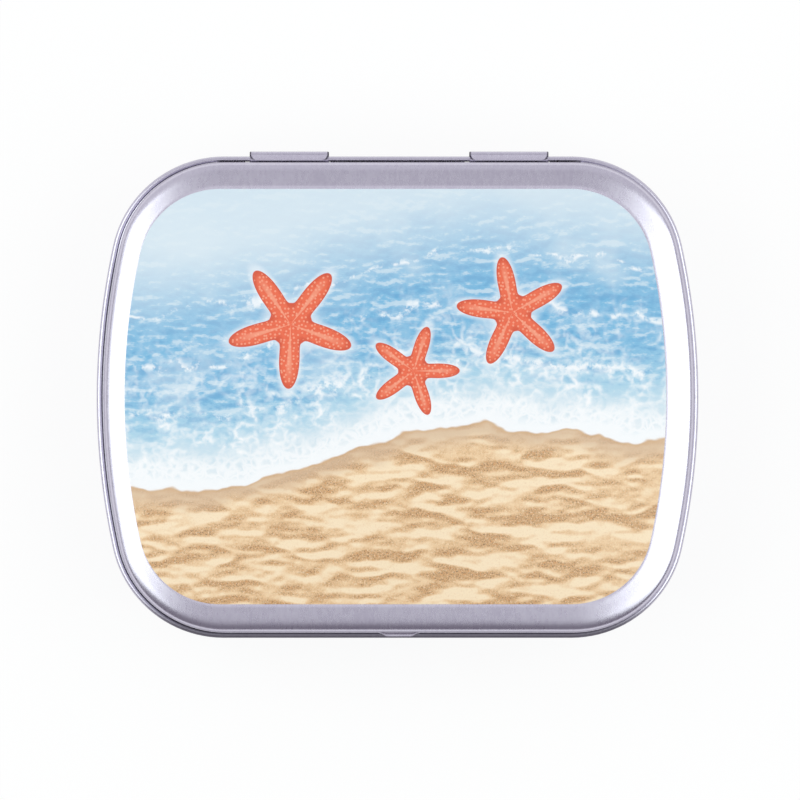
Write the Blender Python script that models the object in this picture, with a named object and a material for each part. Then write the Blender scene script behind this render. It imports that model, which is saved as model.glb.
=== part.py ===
"""A small hinged tin for mints, drawn from tinplate: a tray with a stop bead, a hemmed lid and a label.

The lid turns on the tray's own bead. Two tongues of the lid pass down through a slot inside the bead, go
round under it and come up behind, and their free ends lie flat over its top. There is no pin and no wire.

Metres, +Z up, the hinge at +Y and the finger lip at -Y. The origin is under the middle of the tin, on the
plane it stands on.
"""

from math import acos, asin, atan2, cos, hypot, pi, radians, sin, tan

import bmesh
import bpy
from mathutils import Matrix, Vector

# Driving sizes of the closed tin
RIM_WIDTH = 0.0600
RIM_DEPTH = 0.0480
CORNER_RADIUS = 0.0113
SIDE_RADIUS = 0.0705
BASE_HEIGHT = 0.01068
LID_HEIGHT = 0.00535
SHEET = 0.00023

# Tray: floor, wall, stop bead and the ledge inside it, neck and its rolled edge
BEAD_RADIUS = 0.00032
LEDGE_DROP = 0.00013
BODY_STEP = 0.00028
FLOOR_RADIUS = 0.0022
FOOT_WIDTH = 0.0018
PANEL_RISE = 0.0004
PANEL_SLOPE = 0.0006
NECK_CLEARANCE = 0.00018
NECK_HEADROOM = 0.0014
CURL_RADIUS = 0.0004
CURL_TURN = radians(250)

# Lid: hem, skirt, edge, shoulder
LID_SET_BACK = 0.00055
SEAT_GAP = 0.0001
HEM_HEIGHT = 0.0008
HEM_GAP = 0.00006
HEM_JOG = 0.00012
EDGE_RADIUS = 0.0009
SHOULDER_INSET = 0.00316
SHOULDER_START_ANGLE = radians(10)
SHOULDER_ANGLE = radians(28)
STEEPENING_POWER = 5

# Finger lip in the middle of the front hem, and the snap bump in the middle of each side
LIP_ROOT_WIDTH = 0.0042
LIP_TIP_WIDTH = 0.0025
LIP_REACH = 0.00042
LIP_HEIGHT = 0.0016
LIP_LIFT = 0.00015
SNAP_WIDTH = 0.0021
SNAP_REACH = 0.0001
SNAP_HEIGHT = 0.0010
SNAP_RISE = 0.0002

# Hinge: the cut-away rear edge of the lid, the tongues and what they pass through
HINGE_LENGTH = 0.0362
RELIEF_MARGIN = 0.00006
TONGUE_WIDTH = 0.0079
TONGUE_SPACING = 0.0219
TONGUE_CLEARANCE = 0.00025
TONGUE_CORNER = 0.0005
TONGUE_BEND = 0.00025
TONGUE_END_GAP = 0.00025
STEM_RISE = 0.00025
STEM_OVERLAP = 0.0005
COINING = 0.00001
SLOT_CLEARANCE = 0.0002
WINDOW_CLEARANCE = 0.0003

# Label
LABEL_MARGIN = 0.0001
LABEL_THICKNESS = 0.00012
ADHESIVE_GAP = 0.00003

# How finely round stretches are faceted
CORNER_STEPS = 9
SIDE_STEPS = 6
SNAP_STEPS = 4
BESIDE_SNAP_STEPS = 3
FLOOR_STEPS = 4
BEAD_STEPS = 10
CURL_STEPS = 8
SHOULDER_STEPS = 4
EDGE_STEPS = 4
HEM_STEPS = 4
WRAP_STEPS = 14
BEND_STEPS = 4
PLATE_STEPS = 4

CUT_OVERRUN = 0.002
SHARP_ANGLE = radians(40)
LEAST_STEP_SHARE = 0.01
MITRE_SHARE = 0.5

TINPLATE_COLOUR = (0.71, 0.70, 0.75)
TINPLATE_ROUGHNESS = 0.34
LABEL_COLOUR = (0.60, 0.76, 0.86)
LABEL_ROUGHNESS = 0.42

# Sizes that follow from the ones above. An inset is measured inwards from the rim's outline.
HALF_SHEET = SHEET / 2
BEAD_HEIGHT = BASE_HEIGHT - BEAD_RADIUS
BODY_INSET = BEAD_RADIUS + BODY_STEP
LEDGE_HEIGHT = BASE_HEIGHT - LEDGE_DROP
HEM_INSET = LID_SET_BACK
SKIRT_INSET = HEM_INSET + HEM_JOG
NECK_INSET = HEM_INSET + 2 * SHEET + HEM_GAP + NECK_CLEARANCE
LID_EDGE = LEDGE_HEIGHT + SEAT_GAP
HEM_TOP = LID_EDGE + HEM_HEIGHT
LID_TOP = LID_EDGE + LID_HEIGHT
HINGE_AXIS = Vector((0, RIM_DEPTH / 2 - BEAD_RADIUS, BEAD_HEIGHT))


def arc(centre, radius, start, end, steps):
    """Points along an arc in a plane, both ends included."""
    angles = [start + (end - start) * step / steps for step in range(steps + 1)]
    return [Vector((centre[0] + radius * cos(a), centre[1] + radius * sin(a))) for a in angles]


def without_doubles(points):
    """The points in turn, each that repeats the one before it left out."""
    least_step = SHEET * LEAST_STEP_SHARE
    kept = [points[0]]
    for point in points[1:]:
        if (point - kept[-1]).length > least_step:
            kept.append(point)
    return kept


def quarter_frame():
    """Where the corner arcs and side arcs of the rim are centred, and the angle at which they meet."""
    corner_y = RIM_DEPTH / 2 - CORNER_RADIUS
    side_x = RIM_WIDTH / 2 - SIDE_RADIUS
    reach = SIDE_RADIUS - CORNER_RADIUS
    corner_x = side_x + (reach**2 - corner_y**2) ** 0.5
    return Vector((corner_x, corner_y)), side_x, asin(corner_y / reach)


def side_arc(inset, meeting, side_x, with_snap):
    """The bowed right side from front to rear, with closer points over the snap bump if asked for."""
    radius = SIDE_RADIUS - inset
    if not with_snap:
        return arc((side_x, 0), radius, -meeting, meeting, SIDE_STEPS)
    half_snap = asin(SNAP_WIDTH / 2 / SIDE_RADIUS)
    front = arc((side_x, 0), radius, -meeting, -half_snap, BESIDE_SNAP_STEPS)
    middle = arc((side_x, 0), radius, -half_snap, half_snap, SNAP_STEPS)
    rear = arc((side_x, 0), radius, half_snap, meeting, BESIDE_SNAP_STEPS)
    return front + middle[1:-1] + rear


def lip_stations():
    """Places along X where the front edge needs a point for the finger lip, from left to right."""
    root, tip = LIP_ROOT_WIDTH / 2, LIP_TIP_WIDTH / 2
    return [-root, -tip, tip, root]


def outline(inset, formed=False):
    """The rim's outline, drawn in by the inset, counter-clockwise from the front's right end.

    A formed outline has the extra points that the lid's finger lip and snap bumps need.
    """
    corner, side_x, meeting = quarter_frame()
    right = side_arc(inset, meeting, side_x, formed)
    rear_right = arc(corner, CORNER_RADIUS - inset, meeting, pi / 2, CORNER_STEPS)
    front_right = [Vector((p.x, -p.y)) for p in reversed(rear_right)]
    right_half = front_right[:-1] + right + rear_right[1:]
    left_half = [Vector((-p.x, p.y)) for p in reversed(right_half)]
    front_y = inset - RIM_DEPTH / 2
    lip = [Vector((x, front_y)) for x in lip_stations()] if formed else []
    return right_half + left_half + lip


def sheet_profile(middle, thickness):
    """Both faces of a sheet whose middle line is given: along the left face and back along the right."""
    left, right = [], []
    for index, point in enumerate(middle):
        ahead = middle[min(index + 1, len(middle) - 1)] - point
        behind = point - middle[max(index - 1, 0)]
        directions = [d.normalized() for d in (behind, ahead) if d.length > 0]
        direction = sum(directions, Vector((0, 0))).normalized()
        stretch = 1 / max(direction.dot(directions[0]), MITRE_SHARE)
        offset = Vector((-direction.y, direction.x)) * thickness / 2 * stretch
        left.append(point + offset)
        right.append(point - offset)
    return left + right[::-1]


def extruded_ring(mesh, ring, places):
    """Extrudes a closed ring of vertices and puts each new vertex at its place. Gives the new ring."""
    edges = [mesh.edges.get(pair) for pair in zip(ring, ring[1:] + ring[:1])]
    grown = bmesh.ops.extrude_edge_only(mesh, edges=edges)["geom"]
    fresh = {item for item in grown if isinstance(item, bmesh.types.BMVert)}
    new_ring = []
    for vert, place in zip(ring, places):
        new_vert = next(v for v in (edge.other_vert(vert) for edge in vert.link_edges) if v in fresh)
        new_vert.co = place
        new_ring.append(new_vert)
    return new_ring


def lofted(name, rings):
    """A closed body through rings of places, the first and the last closed by flat faces."""
    mesh = bmesh.new()
    ring = [mesh.verts.new(place) for place in rings[0]]
    mesh.faces.new(ring)
    for places in rings[1:]:
        ring = extruded_ring(mesh, ring, places)
    mesh.faces.new(ring)
    bmesh.ops.recalc_face_normals(mesh, faces=mesh.faces)
    return object_of(name, mesh)


def round_the_tin(profile, formed=False, shape=None):
    """Rings of places that follow a profile round the tin: each profile point is (outward, height).

    The outward value is minus the inset. A shape function may move each place, as a press forms a sheet.
    """
    rings = []
    for outward, height in profile:
        places = [Vector((p.x, p.y, height)) for p in outline(-outward, formed)]
        rings.append([shape(place) for place in places] if shape else places)
    return rings


def object_of(name, mesh):
    """A scene object that holds the mesh, shaded smooth apart from its sharp edges."""
    data = bpy.data.meshes.new(name)
    mesh.to_mesh(data)
    mesh.free()
    data.shade_smooth()
    data.set_sharp_from_angle(angle=SHARP_ANGLE)
    made = bpy.data.objects.new(name, data)
    bpy.context.scene.collection.objects.link(made)
    return made


def block(name, low, high):
    """A box between two corners, used as a cutter."""
    mesh = bmesh.new()
    bmesh.ops.create_cube(mesh, size=1)
    size = high - low
    bmesh.ops.scale(mesh, vec=size, verts=mesh.verts)
    bmesh.ops.translate(mesh, vec=(low + high) / 2, verts=mesh.verts)
    return object_of(name, mesh)


def combine(target, tool, operation):
    """Adds a Boolean with the tool to the target, and leaves the tool out of the finished tin."""
    tool.hide_render = True
    tool.display_type = "WIRE"
    modifier = target.modifiers.new(tool.name, "BOOLEAN")
    modifier.operation = operation
    modifier.object = tool
    modifier.solver = "EXACT"


def material(name, colour, roughness, metallic):
    """A Principled material."""
    made = bpy.data.materials.new(name)
    made.use_nodes = True
    shader = made.node_tree.nodes["Principled BSDF"]
    shader.inputs["Base Color"].default_value = (*colour, 1)
    shader.inputs["Roughness"].default_value = roughness
    shader.inputs["Metallic"].default_value = metallic
    return made


def floor_line():
    """The tray's middle line over the raised panel, the foot it stands on and the bend up to the wall."""
    bend = BODY_INSET + FLOOR_RADIUS
    panel_foot = bend + FOOT_WIDTH
    line = [Vector((-panel_foot - PANEL_SLOPE, PANEL_RISE + HALF_SHEET))]
    line.append(Vector((-panel_foot, HALF_SHEET)))
    return line + arc((-bend, FLOOR_RADIUS), FLOOR_RADIUS - HALF_SHEET, -pi / 2, 0, FLOOR_STEPS)


def bead_line():
    """The middle line from the wall out round the stop bead, down to the ledge and in to the neck.

    The ledge lies lower than the bead's crest, and the lid's hem stands over it.
    """
    radius = BEAD_RADIUS - HALF_SHEET
    ledge = LEDGE_HEIGHT - HALF_SHEET
    last_angle = pi - asin((ledge - BEAD_HEIGHT) / radius)
    wall = Vector((-BODY_INSET - HALF_SHEET, BEAD_HEIGHT - radius))
    bead = arc((-BEAD_RADIUS, BEAD_HEIGHT), radius, -pi / 2, last_angle, BEAD_STEPS)
    return [wall] + bead + [Vector((-NECK_INSET - HALF_SHEET, ledge))]


def neck_top():
    """Height of the tray's rolled edge, which keeps its headroom under the lid's shoulder."""
    return shoulder_line()[-1].y - SHEET - NECK_HEADROOM


def curl_line():
    """The middle line of the neck's rolled edge, which turns inwards and down."""
    centre = (-NECK_INSET - CURL_RADIUS, neck_top() - CURL_RADIUS)
    return arc(centre, CURL_RADIUS - HALF_SHEET, 0, CURL_TURN, CURL_STEPS)


def edge_centre_outward():
    """How far out the lid's edge bend is centred."""
    return -SKIRT_INSET - EDGE_RADIUS


def shoulder_line():
    """The lid's middle line from the flat down the shoulder, an even slope that steepens to the edge bend."""
    bend_radius = EDGE_RADIUS - HALF_SHEET
    start = -SHOULDER_INSET
    width = edge_centre_outward() + bend_radius * sin(SHOULDER_ANGLE) - start
    first_drop = width * tan(SHOULDER_START_ANGLE)
    power = STEEPENING_POWER + 1
    more_drop = width * (tan(SHOULDER_ANGLE) - tan(SHOULDER_START_ANGLE)) / power
    shares = [step / SHOULDER_STEPS for step in range(SHOULDER_STEPS + 1)]
    flat = LID_TOP - HALF_SHEET
    return [Vector((start + width * s, flat - first_drop * s - more_drop * s**power)) for s in shares]


def skirt_line():
    """The lid's middle line round the edge bend, down the skirt, out over the jog and round the hem."""
    bend_radius = EDGE_RADIUS - HALF_SHEET
    bend_height = shoulder_line()[-1].y - bend_radius * cos(SHOULDER_ANGLE)
    bend_centre = (edge_centre_outward(), bend_height)
    line = arc(bend_centre, bend_radius, pi / 2 - SHOULDER_ANGLE, 0, EDGE_STEPS)
    line.append(Vector((-SKIRT_INSET - HALF_SHEET, HEM_TOP + HEM_JOG)))
    line.append(Vector((-HEM_INSET - HALF_SHEET, HEM_TOP)))
    fold_radius = (SHEET + HEM_GAP) / 2
    fold_centre = (-HEM_INSET - HALF_SHEET - fold_radius, LID_EDGE + HALF_SHEET + fold_radius)
    line += arc(fold_centre, fold_radius, 0, -pi, HEM_STEPS)
    line.append(Vector((fold_centre[0] - fold_radius, HEM_TOP - HEM_JOG)))
    return line


def eased(share):
    """A share between 0 and 1 with a soft start and end."""
    share = min(max(share, 0), 1)
    return share * share * (3 - 2 * share)


def formed_place(place):
    """Where the press moves a point of the lid: out and up at the finger lip, out at the snap bumps."""
    above_edge = place.z - LID_EDGE
    ramp = (LIP_ROOT_WIDTH - LIP_TIP_WIDTH) / 2
    if place.y < 0 and abs(place.x) < LIP_ROOT_WIDTH / 2:
        across = min((LIP_ROOT_WIDTH / 2 - abs(place.x)) / ramp, 1)
        share = across * eased(1 - above_edge / LIP_HEIGHT)
        return place + Vector((0, -LIP_REACH * share, LIP_LIFT * share))
    if abs(place.y) < SNAP_WIDTH / 2:
        along = eased(1 - abs(place.y) / (SNAP_WIDTH / 2))
        half_height = SNAP_HEIGHT / 2
        out = SNAP_REACH * along * eased(1 - abs(above_edge - SNAP_RISE - half_height) / half_height)
        return place + Vector((out if place.x > 0 else -out, 0, 0))
    return place


def tongue_line(thickness):
    """A tongue's middle line in the plane across the hinge, from inside the skirt to its free end.

    It is measured from the hinge axis: outwards and up. It leaves the skirt, leans in through the slot, goes
    round behind and under the bead, and comes up outside it to lie flat over its top.
    """
    radius = BEAD_RADIUS + TONGUE_CLEARANCE + thickness / 2
    skirt = BEAD_RADIUS - SKIRT_INSET - HALF_SHEET
    relief = relief_height() - BEAD_HEIGHT
    lean_start = Vector((skirt, radius + STEM_RISE))
    away = hypot(lean_start.x, lean_start.y)
    meets = atan2(lean_start.y, lean_start.x) + acos(radius / away)
    bend = (radius - TONGUE_BEND, radius - TONGUE_BEND)
    end = BEAD_RADIUS - SKIRT_INSET + TONGUE_END_GAP
    line = [Vector((skirt, relief + STEM_OVERLAP)), lean_start]
    line += arc((0, 0), radius, meets, 2 * pi, WRAP_STEPS)
    line += arc(bend, TONGUE_BEND, 0, pi / 2, BEND_STEPS)
    plate = [bend[0] + (end - bend[0]) * step / PLATE_STEPS for step in range(PLATE_STEPS + 1)]
    line += [Vector((outward, radius)) for outward in plate]
    return without_doubles(line)


def relief_height():
    """Height to which the lid's rear edge is cut away, just above its hem."""
    return HEM_TOP + HEM_JOG + RELIEF_MARGIN


def tongue_half_widths(line):
    """Half the tongue's width at each point of its line, with the corners of its free end rounded."""
    widths = []
    from_end = 0
    for point, after in zip(line[::-1], [line[-1]] + line[::-1]):
        from_end += (after - point).length
        short = max(TONGUE_CORNER - from_end, 0)
        widths.append(TONGUE_WIDTH / 2 - TONGUE_CORNER + (TONGUE_CORNER**2 - short**2) ** 0.5)
    return widths[::-1]


def tongue(name, middle_x):
    """One tongue, a strip that is lofted along its line with four corners at each point."""
    thickness = SHEET - 2 * COINING
    line = tongue_line(thickness)
    faces = sheet_profile(line, thickness)
    left, right = faces[: len(line)], faces[len(line) :][::-1]
    rings = []
    for inner, outer, half_width in zip(left, right, tongue_half_widths(line)):
        corners = [(-half_width, inner), (half_width, inner), (half_width, outer), (-half_width, outer)]
        rings.append([HINGE_AXIS + Vector((middle_x + x, p.x, p.y)) for x, p in corners])
    return lofted(name, rings)


def tongue_centres():
    """Names and places along X of the two tongues."""
    return [("left", -TONGUE_SPACING / 2), ("right", TONGUE_SPACING / 2)]


def slot_reach():
    """How far above and below the hinge axis the tongues sweep, with their clearance."""
    return BEAD_RADIUS + TONGUE_CLEARANCE + SHEET + SLOT_CLEARANCE


def slot_bottom():
    """Height of the slot's lower side, between the ledge and the sheet that runs out under it."""
    under_ledge = LEDGE_HEIGHT - SHEET
    over_lower_sheet = BEAD_HEIGHT - BEAD_RADIUS + SHEET
    return (under_ledge + over_lower_sheet) / 2


def base_tray():
    """The drawn tray, with the hinge slot inside its rear bead and a window below it for each tongue."""
    middle = without_doubles(floor_line() + bead_line() + curl_line())
    tray = lofted("base_tray", round_the_tin(sheet_profile(middle, SHEET)))
    bar_inner_y = HINGE_AXIS.y - BODY_STEP / 2
    inside_y = HINGE_AXIS.y - NECK_INSET - CUT_OVERRUN
    low = Vector((-HINGE_LENGTH / 2, inside_y, slot_bottom()))
    high = Vector((HINGE_LENGTH / 2, bar_inner_y, BEAD_HEIGHT + slot_reach()))
    combine(tray, block("hinge_slot_cutter", low, high), "DIFFERENCE")
    half_window = TONGUE_WIDTH / 2 + WINDOW_CLEARANCE
    for side, middle_x in tongue_centres():
        low = Vector((middle_x - half_window, inside_y, BEAD_HEIGHT - slot_reach()))
        high = Vector((middle_x + half_window, bar_inner_y, BEAD_HEIGHT + SLOT_CLEARANCE))
        combine(tray, block("tongue_window_cutter_" + side, low, high), "DIFFERENCE")
    tray.data.materials.append(material("tray tinplate", TINPLATE_COLOUR, TINPLATE_ROUGHNESS, 1))
    return tray


def lid():
    """The drawn lid with its hem, finger lip and snap bumps, its rear edge cut away, and its two tongues."""
    middle = without_doubles(shoulder_line() + skirt_line())
    made = lofted("lid", round_the_tin(sheet_profile(middle, SHEET), formed=True, shape=formed_place))
    low = Vector((-HINGE_LENGTH / 2, HINGE_AXIS.y - NECK_INSET, LID_EDGE - CUT_OVERRUN))
    high = Vector((HINGE_LENGTH / 2, RIM_DEPTH / 2 + CUT_OVERRUN, relief_height()))
    combine(made, block("rear_edge_cutter", low, high), "DIFFERENCE")
    for side, middle_x in tongue_centres():
        combine(made, tongue("tongue_" + side, middle_x), "UNION")
    made.data.materials.append(material("lid tinplate", TINPLATE_COLOUR, TINPLATE_ROUGHNESS, 1))
    return made


def lid_label():
    """The printed label on the lid's flat."""
    inset = SHOULDER_INSET + LABEL_MARGIN
    lower = LID_TOP + ADHESIVE_GAP
    label = lofted("lid_label", round_the_tin([(-inset, lower), (-inset, lower + LABEL_THICKNESS)]))
    label.data.materials.append(material("printed label", LABEL_COLOUR, LABEL_ROUGHNESS, 0))
    return label


def hang_on_hinge(pieces):
    """Parents the moving pieces to an empty on the hinge axis, and puts their origins there."""
    axis = bpy.data.objects.new("lid_hinge_axis", None)
    axis.location = HINGE_AXIS
    axis.empty_display_size = BEAD_RADIUS
    bpy.context.scene.collection.objects.link(axis)
    for piece in pieces:
        piece.data.transform(Matrix.Translation(-HINGE_AXIS))
        piece.parent = axis


def main():
    for old in list(bpy.data.objects):
        bpy.data.objects.remove(old)
    base_tray()
    hang_on_hinge([lid(), lid_label()])


main()
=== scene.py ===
# %% [markdown]
# # A small hinged tin for mints
#
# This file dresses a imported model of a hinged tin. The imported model, called the frame here, holds the
# real sizes and the moving bodies. Each cell adds one piece or one finish to it. The tin has three
# pieces: a tray, a lid that turns on the tray's rolled bead, and a printed label on the lid.
#
# All lengths are in metres. +Z is up, the hinge is at +Y and the finger lip at -Y.

# %% Load the frame
from math import acos, asin, atan2, cos, hypot, pi, radians, sin, tan

import bmesh
import bpy
from mathutils import Matrix, Vector


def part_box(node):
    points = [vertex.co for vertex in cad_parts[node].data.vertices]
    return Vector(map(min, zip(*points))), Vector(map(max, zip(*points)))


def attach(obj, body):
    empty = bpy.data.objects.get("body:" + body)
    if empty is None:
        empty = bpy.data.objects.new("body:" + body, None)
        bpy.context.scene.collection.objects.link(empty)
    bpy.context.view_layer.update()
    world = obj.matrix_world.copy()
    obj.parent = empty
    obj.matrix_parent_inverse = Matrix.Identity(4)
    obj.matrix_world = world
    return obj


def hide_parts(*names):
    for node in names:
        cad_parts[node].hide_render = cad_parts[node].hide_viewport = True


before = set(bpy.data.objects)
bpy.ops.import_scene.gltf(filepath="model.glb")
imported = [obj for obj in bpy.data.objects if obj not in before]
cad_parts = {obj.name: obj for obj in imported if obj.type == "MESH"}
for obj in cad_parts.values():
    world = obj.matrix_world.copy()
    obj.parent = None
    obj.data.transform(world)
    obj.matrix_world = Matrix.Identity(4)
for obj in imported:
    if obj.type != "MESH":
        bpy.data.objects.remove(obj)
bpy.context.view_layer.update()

# %% [markdown]
# ## The sizes that everything follows
#
# The width and depth of the rim come from the frame. The rest are the sizes that a toolmaker would
# write on the drawing of such a tin: the sheet, the bends, the bead, and the clearances that let the
# lid turn. An inset is measured inwards from the rim's outline, and in a section, outward is minus the
# inset.

# %% Driving sizes
MILLIMETRES = 1000
tray_low, tray_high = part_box("base_tray")
RIM_WIDTH = tray_high.x - tray_low.x
RIM_DEPTH = tray_high.y - tray_low.y
CORNER_RADIUS = 0.0113
SIDE_RADIUS = 0.0705
BASE_HEIGHT = 0.01068
LID_HEIGHT = 0.00535
SHEET = 0.00023

BEAD_RADIUS = 0.00032
LEDGE_DROP = 0.00013
BODY_STEP = 0.00028
FLOOR_RADIUS = 0.0022
FOOT_WIDTH = 0.0018
PANEL_RISE = 0.0004
PANEL_SLOPE = 0.0006
NECK_CLEARANCE = 0.00018
NECK_HEADROOM = 0.0014
CURL_RADIUS = 0.0004
CURL_TURN = radians(250)
INNER_BEND = 0.00015

LID_SET_BACK = 0.00055
SEAT_GAP = 0.0001
HEM_HEIGHT = 0.0008
HEM_GAP = 0.00006
HEM_JOG = 0.00012
EDGE_RADIUS = 0.0009
SHOULDER_INSET = 0.00316
SHOULDER_START_ANGLE = radians(10)
SHOULDER_ANGLE = radians(28)
STEEPENING_POWER = 5
FLAT_MARGIN = 0.0010
CREASE = 0.00005

HALF_SHEET = SHEET / 2
BEAD_HEIGHT = BASE_HEIGHT - BEAD_RADIUS
BODY_INSET = BEAD_RADIUS + BODY_STEP
LEDGE_HEIGHT = BASE_HEIGHT - LEDGE_DROP
HEM_INSET = LID_SET_BACK
SKIRT_INSET = HEM_INSET + HEM_JOG
NECK_INSET = HEM_INSET + 2 * SHEET + HEM_GAP + NECK_CLEARANCE
LID_EDGE = LEDGE_HEIGHT + SEAT_GAP
HEM_TOP = LID_EDGE + HEM_HEIGHT
LID_TOP = LID_EDGE + LID_HEIGHT


def mm(length):
    """A length in millimetres, for a message."""
    return f"{length * MILLIMETRES:.2f}"


print("rim", mm(RIM_WIDTH), "by", mm(RIM_DEPTH), "mm, sheet", mm(SHEET), "mm")

# %% [markdown]
# ## A pen for sections
#
# A pressed sheet has the same section nearly all the way round. So the section is drawn once, as a
# chain of edges in the middle of the sheet, with two pen strokes. A line is an extruded vertex. A bend
# is a vertex spun about the bend's centre. Both are operators, so no list of points has to be kept.

# %% The pen
def at_front(outward, height):
    """The place of a section point on the tin's middle plane, at the front."""
    return Vector((0, -RIM_DEPTH / 2 - outward, height))


def pen_down(mesh, outward, height):
    """The section's first vertex."""
    return mesh.verts.new(at_front(outward, height))


def line_to(mesh, vert, outward, height):
    """Extrudes the last vertex to a new place in the section."""
    new_vert = bmesh.ops.extrude_vert_indiv(mesh, verts=[vert])["verts"][0]
    new_vert.co = at_front(outward, height)
    return new_vert


def bend(mesh, vert, centre, angle, steps):
    """Spins the last vertex about a centre in the section, counter-clockwise for a positive angle."""
    middle = at_front(*centre)
    turned = bmesh.ops.spin(
        mesh, geom=[vert], cent=middle, axis=(-1, 0, 0), angle=angle, steps=steps, use_duplicate=False
    )
    return next(item for item in turned["geom_last"] if isinstance(item, bmesh.types.BMVert))


def ease(share):
    """A share between 0 and 1 with a soft start and end."""
    share = min(max(share, 0), 1)
    return share * share * (3 - 2 * share)


def slide_to(mesh, vert, start, end, steps):
    """A soft S from one section point to another, for a step that is pressed into a sheet."""
    for step in range(1, steps + 1):
        share = step / steps
        outward = start[0] + (end[0] - start[0]) * share
        vert = line_to(mesh, vert, outward, start[1] + (end[1] - start[1]) * ease(share))
    return vert


# %% [markdown]
# ## The sweep round the tin
#
# The rim's outline is three kinds of run: straight at the front and rear, round at the corners, and
# gently bowed at the sides. Straight runs are extrusions. The others are spins about the centres of
# their arcs, which keeps the section square to the outline all the way. Half the tin is swept, and
# mirrored at its middle plane.

# %% The sweep
corner_y = RIM_DEPTH / 2 - CORNER_RADIUS
side_centre_x = RIM_WIDTH / 2 - SIDE_RADIUS
corner_x = side_centre_x + ((SIDE_RADIUS - CORNER_RADIUS) ** 2 - corner_y**2) ** 0.5
SIDE_TURN = asin(corner_y / (SIDE_RADIUS - CORNER_RADIUS))
CORNER_STEPS = 22
CUT_STEPS = 2
SIDE_STEPS = 30
MERGE = 1e-6


def extrude_by(mesh, edges, move):
    """Extrudes a chain of edges by a vector and gives the new chain."""
    grown = bmesh.ops.extrude_edge_only(mesh, edges=edges)["geom"]
    fresh = {item for item in grown if isinstance(item, bmesh.types.BMVert)}
    bmesh.ops.translate(mesh, vec=move, verts=list(fresh))
    return [item for item in grown if isinstance(item, bmesh.types.BMEdge) and set(item.verts) <= fresh]


def spin_about(mesh, edges, centre, angle, steps):
    """Spins a chain of edges about an upright line and gives the last chain."""
    centre = Vector((*centre, 0))
    turned = bmesh.ops.spin(mesh, geom=edges, cent=centre, axis=(0, 0, 1), angle=angle, steps=steps)
    return [item for item in turned["geom_last"] if isinstance(item, bmesh.types.BMEdge)]


def sweep_round(mesh, front_stations, rear_stations, cut_turn):
    """Sweeps the section round half of the tin and mirrors it.

    The stations are places along X where a straight run gets a row of vertices. The last cut_turn of
    the rear corner has its own rows, so that a cut may end there.
    """
    edges = list(mesh.edges)
    corner_turn = pi / 2 - SIDE_TURN
    here = 0
    for station in front_stations + [corner_x]:
        edges = extrude_by(mesh, edges, (station - here, 0, 0))
        here = station
    edges = spin_about(mesh, edges, (corner_x, -corner_y), corner_turn, CORNER_STEPS)
    edges = spin_about(mesh, edges, (side_centre_x, 0), 2 * SIDE_TURN, SIDE_STEPS)
    edges = spin_about(mesh, edges, (corner_x, corner_y), corner_turn - cut_turn, CORNER_STEPS)
    edges = spin_about(mesh, edges, (corner_x, corner_y), cut_turn, CUT_STEPS)
    for station in rear_stations + [0]:
        edges = extrude_by(mesh, edges, (station - here, 0, 0))
        here = station
    bmesh.ops.mirror(mesh, geom=mesh.verts[:] + mesh.edges[:] + mesh.faces[:], axis="X", merge_dist=MERGE)
    bmesh.ops.remove_doubles(mesh, verts=mesh.verts, dist=MERGE)


def close_middle(mesh, height):
    """Fills the hole in the middle, whose edges lie at one height, with one flat face."""
    rim = [
        edge
        for edge in mesh.edges
        if edge.is_boundary and all(abs(v.co.z - height) < MERGE for v in edge.verts)
    ]
    bmesh.ops.contextual_create(mesh, geom=rim)


def spread(start, end, steps):
    """Places from start to end in equal steps, both included."""
    return [start + (end - start) * step / steps for step in range(steps + 1)]


print("corner centres at", mm(corner_x), mm(corner_y), "mm, side radius", mm(SIDE_RADIUS), "mm")

# %% [markdown]
# ## From a sheet in the middle to real tinplate
#
# Both pressings are modelled as a single layer in the middle of the sheet. Solidify then gives it the
# sheet's thickness, half of it to each side, and a tiny bevel takes the sharpness off the cut edges, as
# a press tool does. The result is applied, so that its sharp edges can be marked from the true shape.

# %% Thickness
EDGE_BREAK = 0.000035
BEVEL_SEGMENTS = 2
BEVEL_ANGLE = radians(60)
SHARP_ANGLE = radians(25)


def as_object(name, mesh):
    """A scene object that holds a bmesh."""
    data = bpy.data.meshes.new(name)
    mesh.to_mesh(data)
    mesh.free()
    made = bpy.data.objects.new(name, data)
    bpy.context.scene.collection.objects.link(made)
    return made


def apply_modifiers(piece):
    """Replaces a piece's mesh by what its modifiers make of it."""
    graph = bpy.context.evaluated_depsgraph_get()
    finished = bpy.data.meshes.new_from_object(piece.evaluated_get(graph))
    piece.modifiers.clear()
    piece.data = finished
    finished.name = piece.name


def shade(piece):
    """Smooth shading that breaks at sharp edges."""
    piece.data.shade_smooth()
    piece.data.set_sharp_from_angle(angle=SHARP_ANGLE)


def as_tinplate(name, mesh):
    """A pressed piece from its middle layer."""
    bmesh.ops.recalc_face_normals(mesh, faces=mesh.faces)
    made = as_object(name, mesh)
    wall = made.modifiers.new("sheet", "SOLIDIFY")
    wall.thickness = SHEET
    wall.offset = 0
    wall.use_even_offset = True
    wall.use_quality_normals = True
    break_edges = made.modifiers.new("broken_edges", "BEVEL")
    break_edges.width = EDGE_BREAK
    break_edges.segments = BEVEL_SEGMENTS
    break_edges.limit_method = "ANGLE"
    break_edges.angle_limit = BEVEL_ANGLE
    apply_modifiers(made)
    shade(made)
    return made


# %% [markdown]
# ## The hinge's own sizes
#
# There is no pin. The lid's two tongues pass down through a slot inside the tray's rear bead, go round
# under it through two windows, and come up behind. They end flat on top of the bead. So the slot and
# the windows follow from the circle that the tongues need round the bead.

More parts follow.
